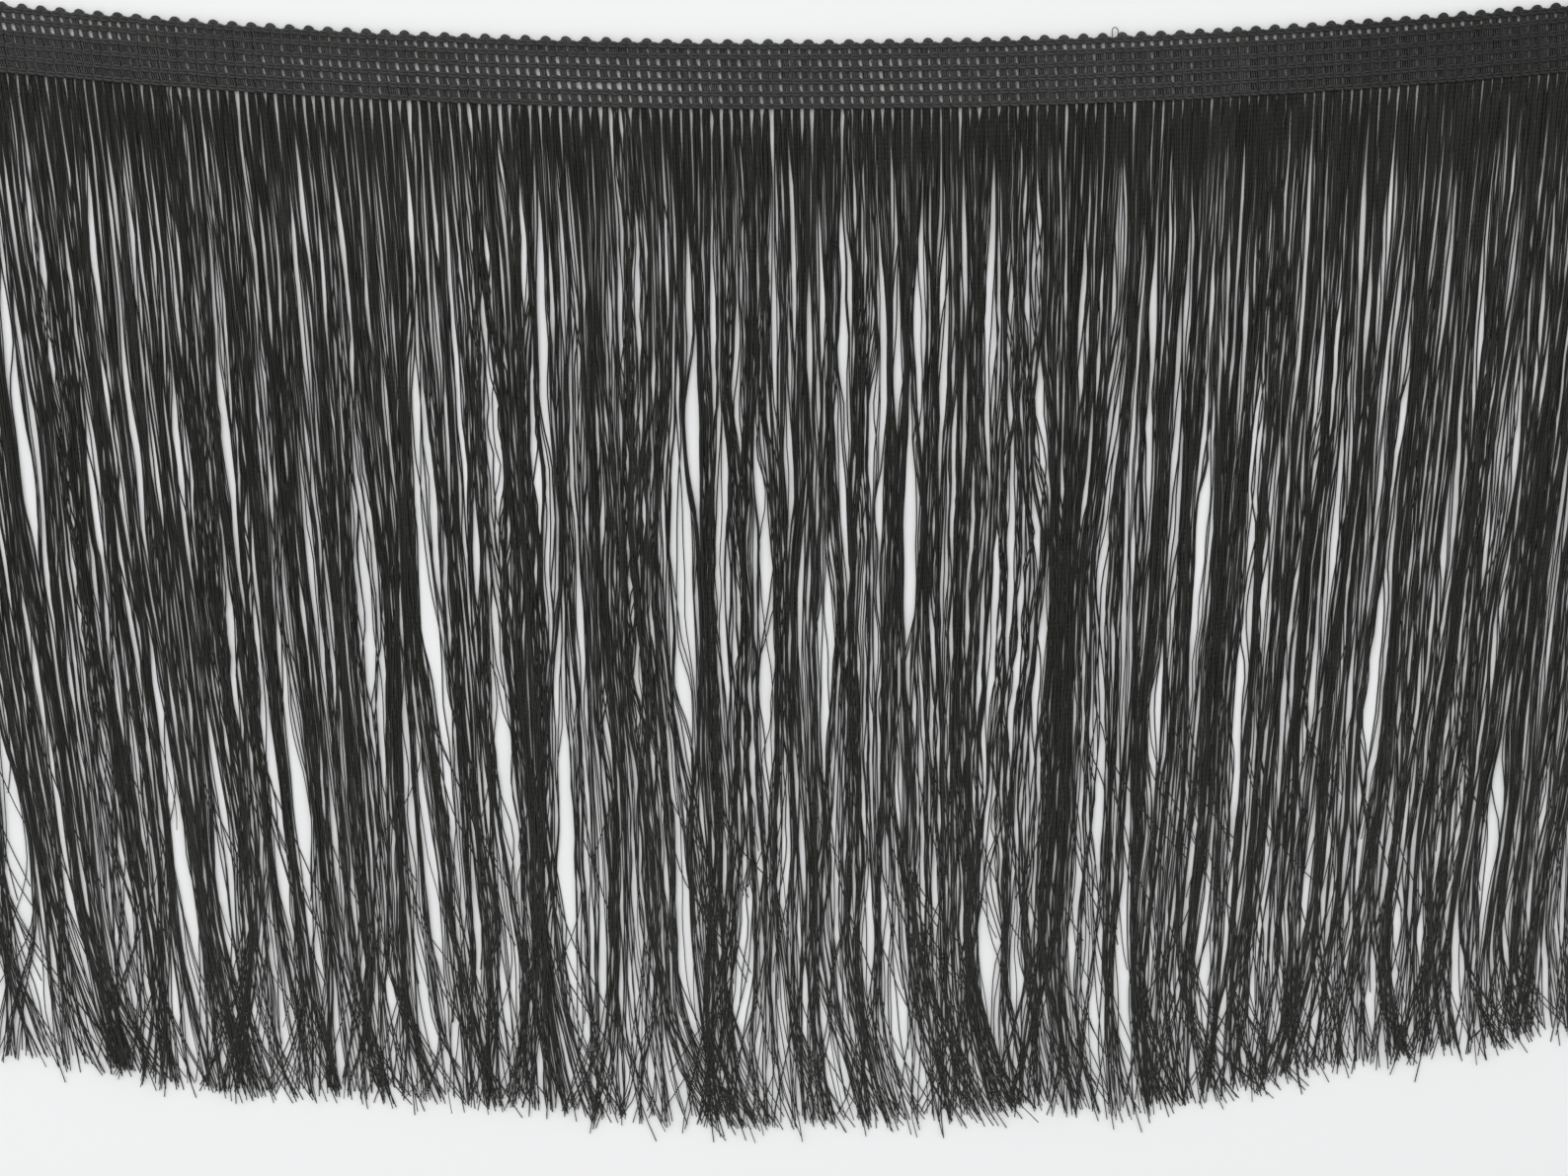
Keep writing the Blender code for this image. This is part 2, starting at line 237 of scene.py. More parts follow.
# The wider partings. x: the middle's place along the heading. start, end: how far down the
# threads it runs. width: at its widest.
Parting = namedtuple("Parting", "x start end width")
PARTINGS = (
    Parting(-109.2, 25, 73, 1.6),
    Parting(-108.9, 96, 136, 3.8),
    Parting(-98.7, 6, 38, 0.9),
    Parting(-96.8, 84, 110, 1.2),
    Parting(-93.3, 110, 131, 1.9),
    Parting(-89.4, 58, 79, 1.3),
    Parting(-86.5, 36, 66, 1.7),
    Parting(-79.8, 101, 132, 1.8),
    Parting(-78.6, 58, 99, 1.8),
    Parting(-77.0, 15, 39, 0.9),
    Parting(-68.9, 69, 135, 2.7),
    Parting(-57.2, 10, 41, 0.9),
    Parting(-55.9, 115, 133, 1.4),
    Parting(-52.5, 26, 63, 1.4),
    Parting(-49.7, 97, 126, 1.9),
    Parting(-49.2, 14, 53, 0.9),
    Parting(-48.2, 51, 86, 1.2),
    Parting(-45.5, 110, 129, 1.8),
    Parting(-42.8, 87, 116, 1.5),
    Parting(-40.6, 62, 113, 2.0),
    Parting(-40.1, 4, 24, 0.9),
    Parting(-39.2, 117, 130, 1.2),
    Parting(-36.6, 13, 48, 1.0),
    Parting(-35.0, 45, 65, 1.6),
    Parting(-32.4, 78, 122, 1.6),
    Parting(-29.4, 19, 59, 1.0),
    Parting(-28.8, 65, 83, 1.2),
    Parting(-25.8, 49, 69, 1.3),
    Parting(-25.5, 69, 107, 1.3),
    Parting(-21.2, 67, 94, 1.5),
    Parting(-14.1, 73, 103, 2.3),
    Parting(-13.9, 53, 68, 1.5),
    Parting(-13.0, 17, 60, 1.5),
    Parting(-11.9, 92, 131, 2.1),
    Parting(-10.8, 126, 136, 1.5),
    Parting(-7.0, 13, 47, 1.0),
    Parting(-6.2, 100, 133, 2.0),
    Parting(-4.6, 55, 68, 1.2),
    Parting(-2.8, 41, 73, 1.4),
    Parting(-2.7, 71, 105, 1.2),
    Parting(6.0, 71, 103, 1.4),
    Parting(7.5, 39, 71, 1.6),
    Parting(12.6, 107, 133, 2.8),
    Parting(12.7, 29, 57, 1.4),
    Parting(16.2, 93, 106, 1.2),
    Parting(18.0, 40, 75, 1.9),
    Parting(19.9, 19, 38, 1.0),
    Parting(22.6, 18, 36, 0.9),
    Parting(24.3, 119, 132, 1.3),
    Parting(28.4, 87, 103, 1.3),
    Parting(29.7, 99, 132, 2.1),
    Parting(30.0, 27, 56, 1.2),
    Parting(36.1, 8, 37, 1.3),
    Parting(36.8, 29, 76, 1.9),
    Parting(42.3, 111, 129, 1.6),
    Parting(44.7, 76, 112, 2.2),
    Parting(45.5, 56, 74, 1.4),
    Parting(47.4, 8, 48, 1.4),
    Parting(50.6, 112, 128, 1.4),
    Parting(52.0, 99, 111, 1.3),
    Parting(53.3, 78, 100, 2.2),
    Parting(59.4, 46, 71, 1.3),
    Parting(62.9, 15, 49, 1.1),
    Parting(65.5, 69, 107, 1.4),
    Parting(67.6, 15, 32, 0.9),
    Parting(71.8, 117, 129, 1.5),
    Parting(75.3, 83, 98, 1.2),
    Parting(76.2, 29, 62, 1.5),
    Parting(76.3, 117, 131, 1.3),
    Parting(81.4, 106, 117, 1.3),
    Parting(84.6, 68, 106, 2.2),
    Parting(88.4, 31, 57, 1.6),
    Parting(88.7, 109, 135, 2.2),
    Parting(90.0, 96, 111, 1.7),
    Parting(91.0, 79, 97, 1.2),
    Parting(97.6, 94, 115, 1.3),
    Parting(102.1, 96, 125, 2.8),
    Parting(102.6, 63, 91, 1.3),
    Parting(103.8, 15, 41, 1.1),
    Parting(105.8, 127, 136, 2.0),
    Parting(109.6, 98, 115, 1.2),
    Parting(111.8, 116, 129, 1.6),
)

# ------------------------------ how it all lies


def rib_middle(rib):
    """Across the heading, from the lowest row, 0, to the top row."""
    return (rib - (RIBS - 1) / 2) * RIB_PITCH


def chain_line(rib):
    """Across the heading, where a chain row really lies."""
    return rib_middle(rib) - TOP_ROW_DROP * (rib == RIBS - 1)


def laid(along, across):
    """A place on the heading, in the shallow curve that it lies in."""
    angle = along / CURVE_RADIUS
    radius = CURVE_RADIUS - across
    return radius * np.sin(angle), CURVE_RADIUS - radius * np.cos(angle)


def leaning(along, across):
    """Along the heading, where a bundle that passes its middle line at `along` has got to."""
    return along - (LEAN + LEAN_CHANGE * along) * across


def by_place(table, column, along):
    """A table's column between its rows, read along the heading."""
    return np.interp(along, [row.x for row in table], [getattr(row, column) for row in table])


def column_place(number):
    """Along the heading: whole numbers are the edges between columns, halves their middles."""
    even = (np.asarray(number) - COLUMNS / 2) * COLUMN_PITCH
    return even + by_place(SHIFTS, "shift", even)


def combed(along, down):
    """A place in the fringe, whose threads are combed in towards one far point."""
    x, y = laid(along, FRINGE_LINE)
    run_x = COMB_POINT[0] - x
    run_y = COMB_POINT[1] - y
    share = down / np.hypot(run_x, run_y)
    return x + run_x * share, y + run_y * share


def narrowing(down):
    """How much of its width at the heading the combed fringe still has."""
    return 1 - down / (FRINGE_LINE - COMB_POINT[1])


def root_place(x, down):
    """Along the heading, the root of the thread that passes x at this distance down."""
    return COMB_POINT[0] + (x - COMB_POINT[0]) / narrowing(down)


def eased(share, curve):
    """From 0 to 1 as share does: straight where curve is 1, and slower at first above that."""
    return np.clip(share, 0, 1) ** curve


# ------------------------------ the threads' columns and levels

# The column that each thread hangs from and its middle along the heading, the layer of weft
# that it comes from, and the pair that it keeps together with.
COLUMN = np.repeat(np.arange(COLUMNS), THREADS_A_COLUMN)
MIDDLE = column_place(COLUMN + 0.5)
LAYER = np.arange(THREADS) % YARN_LAYERS
PAIR = np.arange(THREADS) // 2

# Down a thread of the usual length: from under the lowest chain row to the surface that it
# lies on, then evenly to its tip.
COMING_DOWN = (-RIB_HALF_WIDTH, 0, 0.9, 1.9, 3.1, 4.5)
LYING_FROM = 7.0
LYING_LEVELS = 56
LEVELS = np.concatenate((COMING_DOWN, np.linspace(LYING_FROM, THREAD_LENGTH, LYING_LEVELS)))


def by_level(table, column):
    """A table's column between its rows, read down a thread."""
    return np.interp(LEVELS, [row.down for row in table], [getattr(row, column) for row in table])


# ------------------------------ wander

# Threads wander off their straight lines in waves. Sizes are the usual size of a random one.
Wave = namedtuple("Wave", "length size")
COMMON_WANDER = (Wave(90, 0.30), Wave(47, 0.10), Wave(25, 0.04))
COMMON_BREADTH = 2.0  # threads this close together wander alike
FREE_WANDER = (Wave(90, 0.5), Wave(50, 0.3), Wave(25, 0.10))
FREE_SHARE = 0.16  # of the threads, which do that fully
LOOSENESS = 0.25  # how much of it the others do
SETTLES = 18.0  # from this far down threads wander fully
OWN_WANDER = (Wave(34, 0.12), Wave(15, 0.10), Wave(8, 0.08))  # of each pair
PLY_WANDER = (Wave(23, 0.05), Wave(9, 0.04))  # of each thread of a pair
LIVELINESS = 0.5  # how unevenly pairs do theirs
OWN_SETTLES = 60.0  # from this far down they do so fully
WAVE_LENGTHS = (0.7, 1.4)  # a thread's waves are this much shorter or longer than the usual
WAVE_STEP = 1.5  # radians, the usual lag between neighbourhoods that wander alike

CRIMP = 0.13  # how far a thread kinks aside
CRIMP_LEAST = 0.3  # how much of that it does under the heading
CRIMP_SETTLES = 40.0  # from this far down it kinks fully
CRIMP_BREADTH = 3.0  # threads this close together are crimped alike
CRIMP_UNEVEN = 0.5  # how unevenly they are crimped from place to place
THREAD_CRIMP_UNEVEN = 0.3  # and from thread to thread
THREAD_KINKS = 0.5  # a thread's own kinks, beside the kinks of its pair
KINK_SMOOTHING = (0.25, 0.5, 0.25)  # shares of the level above, the level itself and the next


def shared(dice, along, breadth, size):
    """A random value that neighbouring threads share, for locks that move as one."""
    knots = np.arange(-HEADING_LENGTH, HEADING_LENGTH, breadth)
    values = dice.normal(0, size, len(knots))
    place = (along - knots[0]) / breadth
    low = place.astype(int)
    blend = place - low
    blend = blend * blend * (3 - 2 * blend)  # level at every knot, so the value bends smoothly
    return values[low] * (1 - blend) + values[low + 1] * blend


def together(dice, down, table, breadth):
    """Smooth wander that neighbouring threads share."""
    total = np.zeros_like(down)
    for wave in table:
        turn = shared(dice, MIDDLE, breadth, WAVE_STEP)[:, None]
        total += wave.size * (np.sin(2 * np.pi * down / wave.length + turn) - np.sin(turn))
    return total


def alone(dice, down, table):
    """Smooth wander of each thread by itself."""
    threads = len(down)
    total = np.zeros_like(down)
    for wave in table:
        lengths = wave.length * dice.uniform(*WAVE_LENGTHS, (threads, 1))
        turn = dice.uniform(0, 2 * np.pi, (threads, 1))
        sizes = wave.size * dice.normal(0, 1, (threads, 1))
        total += sizes * (np.sin(2 * np.pi * down / lengths + turn) - np.sin(turn))
    return total


def wander(dice, place, down):
    """Let threads wander with their neighbours, and pair by pair, most of them only a little."""
    settled = np.clip(down / SETTLES, 0, 1)
    free = dice.random((THREADS, 1)) < FREE_SHARE
    place += settled * together(dice, down, COMMON_WANDER, COMMON_BREADTH)
    aside = alone(dice, down[::2], FREE_WANDER)[PAIR]
    place += settled * np.where(free, 1, LOOSENESS) * aside


def kink(dice, place, down):
    """Let pairs and threads go their own small ways, and kink them from level to level."""
    liveliness = np.exp(dice.normal(0, LIVELINESS, (PAIRS, 1)))
    aside = (liveliness * alone(dice, down[::2], OWN_WANDER))[PAIR]
    aside += alone(dice, down, PLY_WANDER)
    place += np.clip(down / OWN_SETTLES, 0, 1) * aside

    uneven = shared(dice, MIDDLE, CRIMP_BREADTH, CRIMP_UNEVEN)
    crimp = CRIMP * np.exp(uneven + dice.normal(0, THREAD_CRIMP_UNEVEN, THREADS))
    kinks = dice.normal(0, 1, (PAIRS, len(LEVELS)))[PAIR]
    kinks = kinks + dice.normal(0, THREAD_KINKS, place.shape)
    place += kinks * crimp[:, None] * np.clip(down / CRIMP_SETTLES, CRIMP_LEAST, 1)
    above, here, below = KINK_SMOOTHING
    place[:, 2:-1] = above * place[:, 1:-2] + here * place[:, 2:-1] + below * place[:, 3:]


# ------------------------------ locks and partings

# Threads cling to their neighbours. Each row is one size of group: about how many threads it
# has, how far it holds before they regroup, and how far they are drawn to its middle at
# CLING_PLACES. At the first of these they don't cling yet, and at their tips they let go.
Cling = namedtuple("Cling", "members run high middle low tip")
CLINGS = (
    Cling(32, 60, 0.06, 0.42, 0.50, 0.30),
    Cling(10, 26, 0.32, 0.56, 0.72, 0.32),
    Cling(4, 13, 0.30, 0.40, 0.60, 0.25),
)
CLING_PLACES = (4, 20, 70, 125, 146)  # mm down a thread
GROUP_EVENNESS = 2.0  # of the groups' sizes: the shape of their gamma spread
STAGGER = 0.35  # groups regroup about this share of a run sooner or later
STAGGER_BREADTH = 1.5  # and this many groups do so alike
TIGHTNESS = (Wave(120, 0.45), Wave(65, 0.3))  # how unevenly they cling, from place to place
TIGHTNESS_BREADTH = 7.0  # threads this close together cling alike
TIGHTNESS_LIMITS = (0.1, 2.2)
LOOSE_SHARE = 0.20  # of the threads, which cling little
LOOSE_MOST = 0.5  # as a share, how much they do at most

PARTING_REACH = 1.6  # a parting moves the threads this many of its widths to both sides
PARTING_REACH_MORE = 1.4  # and this many mm more
PARTING_SOFTNESS = (0.03, 0.3)  # this close to its seam threads are pushed less
PARTING_WIDEST = (0.3, 0.7)  # where along it it is widest, as a share
STRAY_SHARE = 0.10  # of the threads, which may cross partings
STRAY_MOST = 0.8  # as a share, how much they are pushed aside at most


def draw_together(dice, place, down, kind, follow):
    """Draw threads to the middles of seeded groups, which change on the way down."""
    # One stop above the heading and one below the tip, for the stagger.
    stations = int(THREAD_LENGTH / kind.run) + 3
    breadth = kind.members * COLUMN_PITCH / THREADS_A_COLUMN
    stagger = shared(dice, MIDDLE, STAGGER_BREADTH * breadth, STAGGER)[:, None]
    stops = kind.run * (np.arange(stations) - 1 + stagger)
    each = np.arange(THREADS)
    scale = (kind.members - 1) / GROUP_EVENNESS
    pulls = np.empty((THREADS, stations))
    for station in range(stations):
        sizes = 1 + dice.gamma(GROUP_EVENNESS, scale, THREADS)
        group = np.searchsorted(np.cumsum(sizes) - dice.uniform(0, kind.members), each)
        level = np.clip(np.searchsorted(LEVELS, stops[:, station]), 0, len(LEVELS) - 1)
        here = place[each, level]
        middle = np.bincount(group, here) / np.maximum(np.bincount(group), 1)
        pulls[:, station] = middle[group] - here
    pulls = np.clip(pulls, -breadth, breadth)
    drawn = np.array([np.interp(down[n], stops[n], pulls[n]) for n in each])
    hold = np.interp(down, CLING_PLACES, (0, kind.high, kind.middle, kind.low, kind.tip))
    place += drawn * hold * follow


def cling(dice, place, down):
    """Gather the threads in locks of several sizes, and say which cling little."""
    loose = dice.random((THREADS, 1)) < LOOSE_SHARE
    follow = np.where(loose, dice.uniform(0, LOOSE_MOST, (THREADS, 1)), 1)
    tightness = 1 + together(dice, down, TIGHTNESS, TIGHTNESS_BREADTH)
    follow = follow * np.clip(tightness, *TIGHTNESS_LIMITS)
    for kind in CLINGS:
        draw_together(dice, place, down, kind, follow)
    return loose


def open_parting(dice, place, down, parting, follow):
    """Push the threads beside a parting away from its seam: straight-sided and pointed."""
    softness = dice.uniform(*PARTING_SOFTNESS)
    reach = PARTING_REACH * parting.width + PARTING_REACH_MORE
    seam = root_place(parting.x, (parting.start + parting.end) / 2)
    near = np.abs(place - seam).min(axis=1) < reach
    here = place[near]
    run = down[near]
    share = np.clip((run - parting.start) / (parting.end - parting.start), 0, 1)
    widest = dice.uniform(*PARTING_WIDEST)
    share = np.minimum(share / widest, (1 - share) / (1 - widest))
    opening = 0.5 * parting.width / narrowing(run) * np.sin(0.5 * np.pi * share)
    fade = np.clip(1 - np.abs(here - seam) / reach, 0, 1) ** 2
    place[near] = here + opening * np.tanh((here - seam) / softness) * fade * follow[near]


def part(dice, place, down):
    """Open all the partings, the widest first."""
    stray = dice.random((THREADS, 1)) < STRAY_SHARE
    follow = np.where(stray, dice.uniform(0, STRAY_MOST, (THREADS, 1)), 1)
    for parting in sorted(PARTINGS, key=lambda row: -row.width):
        open_parting(dice, place, down, parting, follow)


# ------------------------------ the ends of the threads

CUT_DROP = 0.6  # the usual thread ends this far short of the cut line
CUT_BREADTH = 3.4  # threads this close together are cut alike
CUT_UNEVEN = 0.8  # how unevenly these locks are cut, and the threads in them
MISSED_SHARE = 0.02  # of the threads, which the shears missed
MISSED = (0.5, 3.0)  # how much longer these are
DRAWN_UP_SHARE = 0.13  # of the threads, whose ends were drawn up into the fringe
DRAWN_UP = (3.0, 40.0)  # how much shorter these look

BUNCH = 5  # threads that stay side by side down to their tips
DRIFT_SHARE = 0.5  # of the bunches, which cross to a neighbouring lock low down
DRIFT = 4.0  # how far, usually
DRIFT_BEGINS = (45, 125)  # how far down
LEAN_BEGINS = 55.0  # from there the threads lean aside as TIPS says
TIP_SWEEP = 1.25  # the very tip is brushed this much further than TIPS says
SWEEP_BREADTH = 6.0  # threads this close together are brushed alike
SWEEP_UNEVEN = 1.8
SWEEP_RUN = (26, 4)  # the usual length of the brushed end, and its usual step from that
BUNCH_SPLAY = 2.6  # how far a bunch of ends is turned aside
PAIR_SPLAY = 3.2  # and a pair in the bunch
THREAD_SPLAY = 0.4  # and a thread in the pair
SPLAY_RUN = (10, 36)  # the length of the end that is turned

# How these grow down a thread: 1 is evenly, and above that slower at first.
DRIFT_CURVE = 1.3
LEAN_CURVE = 1.4
SWEEP_CURVE = 2
SPLAY_CURVE = 1.6
LIFT_CURVE = 2

HEIGHT_WANDER = (Wave(60, 0.25), Wave(24, 0.12), Wave(11, 0.05))  # as shares of the pile
ROOT_RUN = 3.0  # how soon a thread comes down from the heading to the surface
ROOT_CURVE = 1.5  # above 1 it keeps its height at first
LIFTED_SHARE = 0.05  # of the ends, which are lifted
LIFTED = (0.5, 3.0)  # this far
LIFTED_RUN = (10, 30)  # over this length

# The white slits under the heading.
SLIT_WIDTHS = (0.55, 1.3)  # as shares of the width that SLITS gives
SLIT_LENGTH_LEAST = 0.35  # as a share of the length that SLITS gives
SLIT_LENGTH_MORE = 0.8  # what is usually added to that, and to a few slits much more
SLIT_BODY = 0.66  # of its width, which it loses over that length
SLIT_TAIL = 0.34  # of its width, which it loses over a longer tail
SLIT_TAILS = (2.0, 9.0)  # as shares of its length


def thread_lengths(dice):
    """Each thread's length: cut in uneven locks, a few left long and some drawn up short."""
    length = by_place(TIPS, "length", MIDDLE) - CUT_DROP
    length = length + shared(dice, MIDDLE, CUT_BREADTH, CUT_UNEVEN)
    length = length + dice.normal(0, CUT_UNEVEN, THREADS)
    missed = dice.random(THREADS) < MISSED_SHARE
    length = length + missed * dice.uniform(*MISSED, THREADS)
    dice = np.random.default_rng(DRAWN_UP_SEED)
    drawn_up = dice.random(THREADS) < DRAWN_UP_SHARE
    return length - drawn_up * dice.uniform(*DRAWN_UP, THREADS)


def thread_roots(dice, down):
    """Threads side by side under the heading, with a white slit between two columns."""
    edges = column_place(np.arange(COLUMNS + 1))
    width = by_place(SLITS, "width", edges) * dice.uniform(*SLIT_WIDTHS, COLUMNS + 1)
    longer = SLIT_LENGTH_LEAST + dice.exponential(SLIT_LENGTH_MORE, COLUMNS + 1)
    length = by_place(SLITS, "length", edges) * longer
    tail = length * dice.uniform(*SLIT_TAILS, COLUMNS + 1)

    def half_slit(edge):
        """Half the width of the slits at some edges, at every level."""
        body = np.clip(1 - down / length[edge][:, None], 0, 1)
        end = np.clip(1 - down / tail[edge][:, None], 0, 1)
        return 0.5 * width[edge][:, None] * (SLIT_BODY * body + SLIT_TAIL * end)

    left = edges[COLUMN][:, None] + half_slit(COLUMN)
    right = edges[COLUMN + 1][:, None] - half_slit(COLUMN + 1)
    rank = (np.tile(np.arange(THREADS_A_COLUMN), COLUMNS) + 0.5) / THREADS_A_COLUMN
    return leaning(left + (right - left) * rank[:, None], FRINGE_LINE)


def of_bunch(dice, bunch, spread):
    """A random number for each thread, the same all over its bunch."""
    return dice.normal(0, spread, bunch[-1] + 1)[bunch]


def turn_aside(dice, place, down, length):
    """Let bunches cross to other locks, and lean, brush and splay the ends."""
    bunch = np.cumsum(dice.random(THREADS) < 1 / BUNCH)
    bunches = bunch[-1] + 1
    drift = of_bunch(dice, bunch, DRIFT) * (dice.random(bunches) < DRIFT_SHARE)[bunch]
    begins = dice.uniform(*DRIFT_BEGINS, bunches)[bunch][:, None]
    place += drift[:, None] * eased((down - begins) / (THREAD_LENGTH - begins), DRIFT_CURVE)

    lean = by_place(TIPS, "lean", MIDDLE)
    share = (down - LEAN_BEGINS) / (THREAD_LENGTH - LEAN_BEGINS)
    place += lean[:, None] * eased(share, LEAN_CURVE)

    to_tip = length[:, None] - down
    sweep = TIP_SWEEP * by_place(TIPS, "sweep", MIDDLE)
    sweep = sweep + shared(dice, MIDDLE, SWEEP_BREADTH, SWEEP_UNEVEN)
    run = dice.normal(*SWEEP_RUN, (THREADS, 1))
    place += sweep[:, None] * eased(1 - to_tip / run, SWEEP_CURVE)

    splay = of_bunch(dice, bunch, BUNCH_SPLAY) + of_bunch(dice, PAIR, PAIR_SPLAY)
    splay += dice.normal(0, THREAD_SPLAY, THREADS)
    run = dice.uniform(*SPLAY_RUN, bunches)[bunch][:, None]
    place += splay[:, None] * eased(1 - to_tip / run, SPLAY_CURVE)


def thread_heights(dice, down, length):
    """How high each thread lies: over and under its neighbours, a few ends lifted."""
    lie = dice.random((THREADS, 1))
    lie = lie + alone(dice, down, HEIGHT_WANDER)
    lie = LOWEST_LIE + (PILE_HEIGHT - LOWEST_LIE) * np.clip(lie, 0, 1)
    root = np.array(WEFT_HEIGHTS)[LAYER][:, None]
    height = lie + (root - lie) * np.exp(-(np.clip(down, 0, None) / ROOT_RUN) ** ROOT_CURVE)
    lifted = dice.random((THREADS, 1)) < LIFTED_SHARE
    run = dice.uniform(*LIFTED_RUN, (THREADS, 1))
    bend = eased(1 - (length[:, None] - down) / run, LIFT_CURVE)
    return height + lifted * dice.uniform(*LIFTED, (THREADS, 1)) * bend


def thread_paths():
    """Every thread's path, as threads × levels × (x, y, z), and which threads are loose."""
    dice = np.random.default_rng(THREAD_SEED)
    length = thread_lengths(dice)
    down = LEVELS[None, :] * (length / THREAD_LENGTH)[:, None]
    place = thread_roots(dice, down)
    wander(dice, place, down)
    loose = cling(dice, place, down)
    part(dice, place, down)
    kink(dice, place, down)
    turn_aside(dice, place, down, length)
    x, y = combed(place, down)
    z = thread_heights(dice, down, length)
    return np.stack((x, y, z), axis=-1), loose


# ------------------------------ the paths in the heading


def bundle_rows():
    """Where a bundle's run is set out: at its foot, at both ends of each hole, at its head.

    In chain rows from the lowest, with how far each place runs aside, as a share of the slant,
    and how far it stands from the other bundle of its scallop.
    """
    hole = np.repeat(np.arange(RIBS - 1), 2)
    low_end = np.tile((True, False), RIBS - 1)
    ends = hole + np.where(low_end, HOLE_END, 1 - HOLE_END)
    rows = np.concatenate(((0,), ends, (RIBS - 1,)))
    slanted = np.concatenate(((0,), np.where(low_end, 1, -1), (0,)))
    spread = np.zeros(len(rows))
    spread[-3:-1] = TOP_SPREAD
    spread[-1] = -TOP_GATHER
    return rows, slanted, spread


def bundle_widths(dice):
    """How wide each bundle is at these places: narrow beside an open hole."""
    rows, _, _ = bundle_rows()
    middles = column_place(np.arange(COLUMNS) + 0.5)
    widths = np.full((COLUMNS, len(rows)), BUNDLE_AT_RIB)
    for gap, name in enumerate(HoleRow._fields[1:]):
        openness = by_place(HOLES, name, middles) * dice.uniform(*HOLE_UNEVEN, COLUMNS)
        hole = HOLE_WIDTH * (openness - HOLE_SHUT)
        widths[:, 2 * gap + 1:2 * gap + 3] = COLUMN_PITCH - hole[:, None]
    widths[:, -1] = BUNDLE_AT_TOP
    return widths


def along_bundle(dice, column, side, abreast, layer, width):
    """A yarn's run up a bundle. side says which leg of its scallop that is, -1 or 1."""
    rows, slanted, spread = bundle_rows()
    # A slot is 0.5 at the scallop's outer edge and -0.5 at its inner one, so the layers change
    # places between the legs to keep their step the same way.
    step = abreast + LAYER_STEPS[layer == (side > 0)]
    slot = 0.5 - step / (YARNS_ABREAST - 0.5)
    middle = column_place(column + 0.5)
    aside = spread + slot * (width - YARN_THICKNESS)
    slant = HOLE_SLANT + HOLE_SLANT_CHANGE * middle
    along = middle + side * aside + slant * slanted
    along = along + dice.normal(0, YARN_UNEVEN, len(rows))
    height = WEFT_HEIGHTS[layer] + dice.normal(YARN_RISE, YARN_RISE_UNEVEN, len(rows))
    return np.stack((along, rib_middle(rows), height), axis=-1)


def over_the_top(dice, middle, abreast, layer):
    """A yarn's turn over the top row, from one bundle to the next."""
    turn = np.radians(SCALLOP_STEPS)
    half_width = SCALLOP_HALF_WIDTHS[abreast] - SCALLOP_LAYER_STEP * layer
    rise = SCALLOP_RISES[abreast] * dice.uniform(*SCALLOP_UNEVEN)
    along = middle - half_width * np.cos(turn) + dice.normal(0, YARN_UNEVEN)
    across = rib_middle(RIBS - 1) + SCALLOP_FOOT + rise * np.sin(turn)
    height = WEFT_HEIGHTS[layer] + SCALLOP_CROWN * np.sin(turn)
    return np.stack((along, across, height), axis=-1)


def slack_ply(points):
    """One ply that was left slack, as a small arch over the edge."""
    turn = np.linspace(0, np.pi, points)
    bulge = 1 + SLACK_BULGE * np.sin(turn)
    along = SLACK_PLACE - SLACK_HALF_WIDTH * np.cos(turn) * bulge
    across = rib_middle(RIBS - 1) + SLACK_RISE * np.sin(turn) ** SLACK_CURVE
    return np.stack((along, across, WEFT_HEIGHTS[1] + SLACK_LIFT * np.sin(turn)), axis=-1)


def weft_paths():
    """Every weft yarn's path: up one bundle, over the top row, and down the next bundle.

    The last path is the slack ply.
    """
    dice = np.random.default_rng(WEFT_SEED)
    widths = bundle_widths(dice)
    paths = []
    for left in range(0, COLUMNS, 2):
        for abreast in range(YARNS_ABREAST):
            for layer in range(YARN_LAYERS):
                up = along_bundle(dice, left, -1, abreast, layer, widths[left])
                down = along_bundle(dice, left + 1, 1, abreast, layer, widths[left + 1])
                over = over_the_top(dice, column_place(left + 1), abreast, layer)
                paths.append(np.concatenate((up, over, down[::-1])))
    paths.append(slack_ply(len(paths[0])))
    paths = np.array(paths)
    along = leaning(paths[..., 0], paths[..., 1])
    x, y = laid(along, paths[..., 1])
    return np.stack((x, y, paths[..., 2]), axis=-1)


def back_yarn_paths(ribs):
    """The yarn along the back of each chain row."""
    dice = np.random.default_rng(BACK_YARN_SEED)
    along = np.linspace(-HEADING_LENGTH / 2, HEADING_LENGTH / 2, COLUMNS + 1)
    paths = []
    for rib in ribs:
        across = chain_line(rib) + dice.normal(0, ROW_UNEVEN, len(along))
        x, y = laid(along, across)
        height = BACK_YARN_HEIGHT + np.abs(dice.normal(0, BACK_YARN_UNEVEN, len(along)))
        paths.append(np.stack((x, y, height), axis=-1))
    return np.array(paths)


def stitch_path():
    """One chain stitch as a loop of yarn, open at its foot."""
    side = [(row.along * COLUMN_PITCH, row.across, row.height) for row in STITCH]
    other = [(along, -across, height) for along, across, height in side[-2::-1]]
    return np.array([side + other])


def stitch_places(ribs):
    """Where each stitch sits, and the angle of the heading there."""
    dice = np.random.default_rng(STITCH_SEED)
    places = []
    angles = []
    for rib in ribs:
        along = leaning(column_place(np.arange(COLUMNS) + 0.5), chain_line(rib))
        along = along + dice.normal(0, ROW_UNEVEN, COLUMNS)
        x, y = laid(along, chain_line(rib) + dice.normal(0, ROW_UNEVEN, COLUMNS))
        places.append(np.stack((x, y, np.zeros(COLUMNS)), axis=-1))
        angles.append(along / CURVE_RADIUS)
    return np.concatenate(places), np.concatenate(angles)


# ------------------------------ yarn made along its paths


